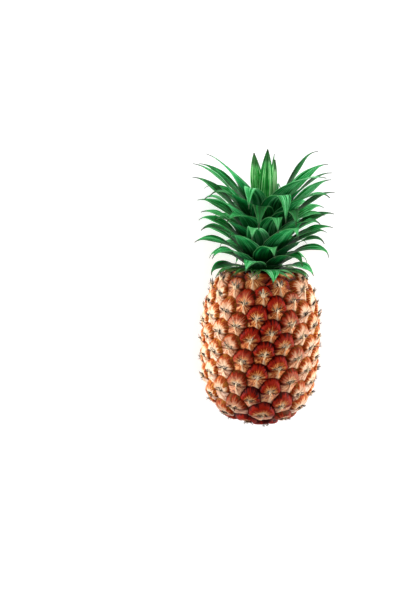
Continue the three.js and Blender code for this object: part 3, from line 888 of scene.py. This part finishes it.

# %% [markdown]
# ## The finish of the rind
#
# On top of the fruit an eye's hub is beige, its dome turns orange and then deep red, and its
# groove is painted almost black as shade. On the sides the eye is painted cream with a thin
# orange-brown outline, as sheen and side light, and the underside is paler too. The stored share
# of the way to the rim drives those bands. The low foot of the eye under its scale is painted
# dark brown as shade. Rays of noise run out from the hub and shift the bands, the deep ones are
# cracks, and a painted shadow line marks the lip where dome and scale meet. Near the crown the
# eyes are dry and brown.

# %% Rind finish
# The last two stops paint shade into the groove: the rim wall and the groove turn almost black.
DOME_COLOURS = {
    0.0: "#FCE8D0", 0.26: "#F2BE88", 0.44: "#DC8A4A", 0.57: "#BC4E1C", 0.67: "#8C2008",
    0.76: "#861402", 0.86: "#961802", 0.93: "#5A0600", 1.0: "#300000",
}
# Painted sheen and side light: on the sides the eyes are cream, and their groove ends in a lit orange line
# instead of dark shade. The paler underside takes these colours too.
SHEEN_SIDE_AND_UNDERSIDE_COLOURS = {
    0.0: "#FCF0DE", 0.46: "#F6E0C4", 0.7: "#EED0A8", 0.79: "#E0A870", 0.855: "#CC662A",
    0.91: "#962E08", 0.955: "#8A300A", 1.0: "#D08434",
}
# The low foot of the eye under its scale: brown, darkened as painted shade under the scale, and almost
# black in the groove as painted shade.
FOOT_SHADE_COLOURS = {0.0: "#8A5C34", 0.3: "#5E240C", 0.9: "#5A1406", 1.0: "#340502"}
DRIED_COLOURS = {0.0: "#DDB684", 0.36: "#B87840", 0.6: "#7E441E", 0.82: "#4A1E0C", 1.0: "#200C06"}
RAYS, RAY_STRENGTH, TONE_STEP = 6.5, 1.7, 30.0
LIP_SHADOW_DROP, LIP_SHADOW_WIDTH = 0.03, 0.1


def rind_finish():
    finish, place = new_finish("rind_wax", 0.48, 0.07)
    rim, up, tone, dry, sheen_sides_and_pale_underside = stored(place, "rim", "up", "tone", "dry", "sheen_sides_and_pale_underside")
    x, y = [times(value, RAYS) for value in stored(place, "side", "ahead")]
    ray = streaks(x, y, line(tone, TONE_STEP, rim), 3.0, 0.7)
    ray = line(ray, RAY_STRENGTH, -RAY_STRENGTH / 2)
    shift = plus(line(tone, 0.05, mottle(place, 260.0, 0.55)), mottle(place, 60.0, 0.3))
    share = line(plus(shift, ray), fade(rim, 0.62, 0.92, 1.0, 0.45), rim, clamp=True)
    # Painted sheen and side light: the domes on the sides, and on the underside, turn to the cream
    # colours.
    dome = blend(times(sheen_sides_and_pale_underside, 0.85), ramp(share, DOME_COLOURS), ramp(share, SHEEN_SIDE_AND_UNDERSIDE_COLOURS))
    cracks = times(fade(ray, -0.1, -0.36, 0.0, 0.6), line(rim, -4.0, 3.4, clamp=True))
    dome = blend(cracks, dome, "#5E2A12")
    # Painted shade: the foot under the scale is dark; on the sides the painted sheen lightens it.
    foot = blend(times(sheen_sides_and_pale_underside, 0.6), ramp(share, FOOT_SHADE_COLOURS), "#B4652E")
    body = blend(fade(up, -0.25, -0.05, 0.0, 1.0), foot, dome)
    # Painted shadow: a dark line along the lip where the dome stands over its scale.
    lip = fade(maths("ABSOLUTE", plus(up, LIP_SHADOW_DROP)), 0.0, LIP_SHADOW_WIDTH, 0.8, 0.0)
    body = blend(times(lip, line(rim, 3.0, -0.75, clamp=True)), body, "#350A04")
    body = blend(times(maths("POWER", dry, 3.0), 0.55), body, ramp(share, DRIED_COLOURS))
    return painted(finish, body, plus(ray, mottle(place, 500.0, 1.0)), 0.4, 0.0006)


finish_piece(rind, rind_finish(), "rind", "fruit")

# %% [markdown]
# ## The finish of the scales and the spikes
#
# A scale is dry paper with ribs that fan out from its point: brown between them and straw on
# them, pinker on some eyes, painted nearly white on the sides as sheen and side light, and pale
# on the underside. Its points are straw with a dark tip, and the flower ends are charred-looking
# threads.

# %% Scale and spike finishes
PAPER_COLOURS = {0.38: "#561404", 0.46: "#B25020", 0.54: "#E08A48", 0.64: "#F8C286"}
PALE_PAPER_COLOURS = {0.38: "#86502E", 0.46: "#D8A47C", 0.54: "#F4DAC0", 0.64: "#FEF2E6"}
POINT_COLOURS = {0.0: "#F0D3A6", 0.55: "#DDBE97", 0.85: "#8B735E", 1.0: "#4B3E36"}
FLOWER_END_COLOURS = {0.0: "#3A2016", 0.5: "#261A14", 1.0: "#5C544B"}


def scale_finish():
    finish, place = new_finish("papery_scale", 0.62, 0.1)
    fan, rim, tone, dry, sheen_sides_and_pale_underside = stored(place, "fan", "rim", "tone", "dry", "sheen_sides_and_pale_underside")
    ribs = streaks(times(fan, 7.0), times(rim, 2.2), times(tone, TONE_STEP), 3.0, 0.65)
    flush = times(line(tone, 0.3, 0.25, clamp=True), rim)
    paper = blend(flush, ramp(ribs, PAPER_COLOURS), "#D67848")
    # Painted sheen and side light: the scales on the sides, and on the underside, turn nearly white.
    paper = blend(times(sheen_sides_and_pale_underside, 0.8), paper, ramp(ribs, PALE_PAPER_COLOURS))
    aside = maths("ABSOLUTE", fan)
    paper = blend(fade(aside, 0.05, 0.22, 0.6, 0.0), paper, "#F3D6AE")
    paper = blend(times(maths("POWER", aside, 5.0), 0.5), paper, "#6E2410")
    paper = blend(fade(rim, 0.93, 1.0, 0.0, 0.5), paper, "#7A2A10")
    paper = blend(times(dry, 0.35), paper, "#7A5232")
    along_fruit = node(place.id_data, "ShaderNodeSeparateXYZ", {"Vector": place}).outputs["Y"]
    paper = blend(fade(along_fruit, -0.07, -0.12, 0.0, 0.28), paper, "#E8C2B4")
    return painted(finish, paper, ribs, 0.6, 0.0008)


def spike_finish(name, stops):
    finish, place = new_finish(name, 0.7)
    tone, along = stored(place, "tone", "along")
    share = plus(line(tone, 0.15, along), mottle(place, 700.0, 0.5), clamp=True)
    return painted(finish, ramp(share, stops), mottle(place, 1500.0, 1.0), 0.3, 0.0003)


finish_piece(scales, scale_finish(), "rind", "fruit")
finish_piece(scale_points, spike_finish("scale_point", POINT_COLOURS), "rind", "fruit")
finish_piece(flower_ends, spike_finish("dry_flower_end", FLOWER_END_COLOURS), "rind", "fruit")

# %% [markdown]
# ## The finish of the leaves
#
# A crown leaf is a stiff, waxy gutter with fine ribs that show as stripes. Its foot is painted
# darkest as shade. Its end is painted paler as light on the fold, most where it folds over and
# least on the high leaves whose folded ends hang in shade, and its needle of a tip is dried
# brown. Its back carries a thin bloom and its edge is a pale line. The small leaves of the
# skirt wither towards their ends. The young heart leaves are light green, and their ends are dark.

# %% Leaf finishes
DARK_COLOURS = {0.38: "#002404", 0.45: "#005618", 0.52: "#049238", 0.58: "#38C466", 0.65: "#90EAA8"}
HEART_COLOURS = {0.38: "#004A0C", 0.45: "#048824", 0.52: "#44CA58", 0.6: "#C4FEBC"}


def leaf_finish(name, stops, foot_shade_colour, bloom, bloom_share, tip_from, roughness, dark_end):
    finish, place = new_finish(name, roughness, 0.05)
    across, along, back, tone, hang, dry = stored(place, "across", "along", "back", "tone", "hang", "dry")
    ribs = streaks(times(across, 7.0), times(along, 0.9), times(tone, 40.0), 4.0, 0.7)
    share = plus(line(tone, 0.1, ribs), mottle(place, 70.0, 0.25), clamp=True)
    green = blend(times(back, bloom_share), ramp(share, stops), bloom)
    # Painted shade: the leaf darkens towards its foot, where the leaves crowd round the core.
    green = blend(fade(along, 0.1, 0.62, 0.92, 0.0), green, foot_shade_colour)
    # Painted highlight: the end of every leaf is a little paler, and the folded ends most, as light on the
    # fold; the high leaves' folded ends, which hang in shade, stay darker.
    folded = times(fade(along, 0.68, 0.84, 0.0, 0.9), line(hang, 0.6, 0.2))
    green = blend(folded, green, "#68CC7C")
    green = blend(fade(along, 0.78, 0.85, 0.0, dark_end), green, "#00460F")
    green = blend(fade(maths("ABSOLUTE", across), 0.965, 1.0, 0.0, 0.4), green, "#7DB076")
    green = blend(times(fade(along, 0.25, 0.95, 0.0, 1.0), dry), green, "#70401F")
    green = blend(fade(along, tip_from, tip_from + 0.06, 0.0, 0.9), green, "#352C2A")
    return painted(finish, green, ribs, 0.6, 0.0009)


dark_leaf = leaf_finish("dark_leaf", DARK_COLOURS, "#001A04", "#2C9E60", 0.2, 0.9, 0.38, 0.0)
heart_leaf = leaf_finish("heart_leaf", HEART_COLOURS, "#005A14", "#6CD07C", 0.1, 0.94, 0.6, 0.8)
print("leaf finishes:", dark_leaf.name, heart_leaf.name)

# %% [markdown]
# ## Growing the crown
#
# The lowest leaves share a solid with the core, so they are written as one piece with it, and
# so is a skirt of small withered leaves that lies over the shoulder of the fruit. The core is a
# ball stretched to an egg and cut level with a bisect. Every other leaf is a piece of its own.

# %% The core, its low leaves and the skirt
SKIRT_LEAVES, SKIRT_PHASE = 34, 40.0


def turned_along_y():
    """The new object, its axis turned along y, in edit mode with all of it selected."""
    bpy.ops.object.mode_set(mode="EDIT")
    bpy.ops.mesh.select_all(action="SELECT")
    bpy.ops.transform.rotate(value=math.pi / 2, orient_axis="X", center_override=(0, 0, 0))
    return bpy.context.object


def taken(made):
    """The points and the faces of an object that is then removed."""
    bpy.ops.object.mode_set(mode="OBJECT")
    points = np.array([v.co[:] for v in made.data.vertices])
    faces = [list(p.vertices) for p in made.data.polygons]
    bpy.data.objects.remove(made)
    return points, faces


def core_block():
    bpy.ops.mesh.primitive_uv_sphere_add(segments=40, ring_count=28, radius=1.0)
    core = turned_along_y()
    bpy.ops.transform.resize(value=(CORE_RADIUS, CORE_HEIGHT, CORE_RADIUS), center_override=(0, 0, 0))
    bpy.ops.mesh.bisect(plane_co=(0, 0, 0), plane_no=(0, 1, 0), clear_inner=True, use_fill=True)
    points, faces = taken(core)
    # At along 0.1 the core takes nearly the full painted shade of a leaf's foot.
    values = {"across": 0.0, "along": 0.1, "back": 0.0, "tone": 0.0, "hang": 0.0, "dry": 0.0}
    return points + [0, CROWN_FOOT, 0], faces, values


def skirt_facts(k):
    """A short, narrow and withered leaf. What isn't set here is as on the crown's lowest leaf."""
    leaf = leaf_facts(0)
    leaf.turn = math.radians(CROWN_PHASE + SKIRT_PHASE + k * EYE_TURN)
    leaf.first = 8 + 10 * abs(scatter(k, 80))
    leaf.middle = 2 + 6 * scatter(k, 81)
    leaf.tip = -48 + 16 * scatter(k, 82)
    leaf.hook = 8 + 20 * abs(scatter(k, 83))
    leaf.half = 3.5 + 1.0 * scatter(k, 84)
    leaf.length = 28 + 7 * scatter(k, 85)
    leaf.sway = math.radians(14 * scatter(k, 86))
    leaf.dry = 0.62 + 0.38 * scatter(k, 87)
    return leaf


low_leaves = [leaf_block(i, leaf_facts(i)) for i in range(FUSED_LEAVES)]
skirt = [leaf_block(k, skirt_facts(k)) for k in range(SKIRT_LEAVES)]
crown_base = write_piece("crown_base", [core_block(), *low_leaves, *skirt])
finish_piece(crown_base, dark_leaf, "leaf", "crown_core")

# %% Every leaf that stands alone
FIRST_HEART = LEAVES - HEART_LEAVES

for i in range(FUSED_LEAVES, LEAVES):
    if i < FIRST_HEART:
        solid_name, finish, slot = f"leaf_{i - FUSED_LEAVES + 1:02d}", dark_leaf, "leaf"
    else:
        solid_name, finish, slot = f"heart_{i - FIRST_HEART + 1:02d}", heart_leaf, "heart_leaf"
    blade = write_piece(f"{solid_name}_blade", [leaf_block(i, leaf_facts(i))])
    finish_piece(blade, finish, slot, solid_name)

# %% [markdown]
# ## The cut stalk
#
# The fruit was cut from its stalk, so a short pale stub of fibres stands in the hollow at its
# bottom. A drum's end is inset into rings, and small moves of those rings along the axis round
# its rim and make its face uneven.

# %% Stalk
STUB_DEPTH, STUB_SIDES, RING_INSETS = 5.7, 48, (0.8, 1.6, 2.2, 2.4, 2.2)
FIBRE_COLOURS = {0.3: "#5E4526", 0.48: "#A2814F", 0.62: "#CDB27D", 0.8: "#E6D6AE"}


def stalk_block():
    depth = STALK_PROUD + STUB_DEPTH
    bpy.ops.mesh.primitive_cylinder_add(vertices=STUB_SIDES, radius=STALK_RADIUS, depth=depth)
    stalk = turned_along_y()
    bpy.ops.mesh.select_all(action="DESELECT")
    bpy.ops.object.mode_set(mode="OBJECT")
    for face in stalk.data.polygons:
        face.select = face.normal.y < -0.9
    bpy.ops.object.mode_set(mode="EDIT")
    bpy.ops.mesh.select_mode(type="FACE")
    for width in RING_INSETS:
        bpy.ops.mesh.inset(thickness=width, depth=0.0)
    shape, faces = taken(stalk)
    x, y, z = shape.T
    radius, turn = np.hypot(x, z), np.arctan2(x, z)
    wave = 0.35 * np.sin(turn * 7 + radius) + 0.25 * np.sin(turn * 17 + radius * 2.1)
    rim_drop = 0.9 * (radius / STALK_RADIUS) ** 8
    y += np.where(y < 0, np.maximum(wave * 0.5 + 0.3 + rim_drop, 0.0), 0.0)
    y += (STUB_DEPTH - STALK_PROUD) / 2
    return shape, faces, {}


def stalk_finish():
    finish, place = new_finish("cut_fibre", 0.85)
    stretched = node(place.id_data, "ShaderNodeMapping", {"Vector": place, "Scale": (1.0, 0.12, 1.0)})
    fibre = noise(stretched.outputs[0], 900.0, 4.0, 0.7)
    return painted(finish, ramp(fibre, FIBRE_COLOURS), fibre, 0.6, 0.0008)


finish_piece(write_piece("stalk_stub", [stalk_block()]), stalk_finish(), "stalk", "stalk_cut")

# %% [markdown]
# ## Floor, light and camera
#
# The photograph is a studio picture on white. The floor glows faintly under the fruit and more
# at a distance, so it is white and still takes a soft shadow. Two broad soft lights stand low on
# either side and brighten the flanks, and a weaker one above keeps the middle rich and dark. The
# world is white at the horizon and grey above, which gives the waxed eyes something darker to
# reflect. The camera looks down on the fruit, slightly from the crown's end.

# %% Floor
FLOOR_SIZE, GLOW_SCALE = 8.0, 0.25

bpy.ops.mesh.primitive_plane_add(size=FLOOR_SIZE)
floor = bpy.context.object
floor.name = "floor"
pale, place = new_finish("pale_floor", 0.9)
shade = plus(mottle(place, 3.0, 0.1), 0.5)
connect(pale, "Base Color", ramp(shade, {0.0: "#F4F4F4", 1.0: "#FFFFFF"}))
reach = node(place.id_data, "ShaderNodeVectorMath", {0: place}, operation="LENGTH").outputs["Value"]
connect(pale, "Emission Color", ramp(times(reach, GLOW_SCALE), {0.1: "#959595", 0.3: "#F6F6F6"}))
pale.node_tree.nodes["Principled BSDF"].inputs["Emission Strength"].default_value = 1.0
floor.data.materials.append(pale)
print("floor", [round(v, 2) for v in floor.dimensions], "m")


# %% Lights and world
def soft_light(name, place, target, width, height, power):
    data = bpy.data.lights.new(name, "AREA")
    data.shape, data.size, data.size_y, data.energy = "RECTANGLE", width, height, power
    light = bpy.data.objects.new(name, data)
    light.location = place
    light.rotation_euler = (Vector(target) - Vector(place)).to_track_quat("-Z", "Y").to_euler()
    bpy.context.collection.objects.link(light)


world = bpy.data.worlds.new("studio")
world.use_nodes = True
sky = world.node_tree
direction = node(sky, "ShaderNodeTexCoord").outputs["Generated"]
height = node(sky, "ShaderNodeSeparateXYZ", {"Vector": direction}).outputs["Z"]
level = ramp(height, {0.03: "#FFFFFF", 0.45: "#7C7C7C"})
sky.links.new(level, sky.nodes["Background"].inputs["Color"])
bpy.context.scene.world = world
bpy.context.scene.view_settings.view_transform = "Standard"

for name, x in (("left_light", -0.75), ("right_light", 0.75)):
    soft_light(name, (x, 0.02, 0.18), (0, 0, 0.06), 0.9, 0.36, 8.5)
soft_light("top_light", (0.0, 0.35, 1.0), (0, 0, 0.05), 0.6, 0.6, 3.0)

# %% Camera
TILT, ROLL, DISTANCE = 0.16, -0.0206, 621.0
RIGHT_OF_BELLY, ABOVE_BELLY = -61.26, 44.8
SENSOR_HEIGHT, HALF_IMAGE, FOCAL_PIXELS = 36.0, 300.5, 597.0
NEAREST_SEEN = 0.01

turn = Matrix.Rotation(-TILT, 3, "X") @ Matrix.Rotation(-ROLL, 3, "Z")
belly = Vector((AXIS_X, AXIS_Y + BELLY_AT, AXIS_HEIGHT))
place = belly + turn @ Vector((RIGHT_OF_BELLY, ABOVE_BELLY, DISTANCE))
data = bpy.data.cameras.new("camera")
data.sensor_fit, data.sensor_height = "VERTICAL", SENSOR_HEIGHT
data.lens = SENSOR_HEIGHT / 2 * FOCAL_PIXELS / HALF_IMAGE
data.clip_start = NEAREST_SEEN
camera = bpy.data.objects.new("camera", data)
camera.matrix_world = Matrix.Translation(place * MM) @ turn.to_4x4()
bpy.context.collection.objects.link(camera)
bpy.context.scene.camera = camera
print("camera at", [round(v, 3) for v in place * MM])
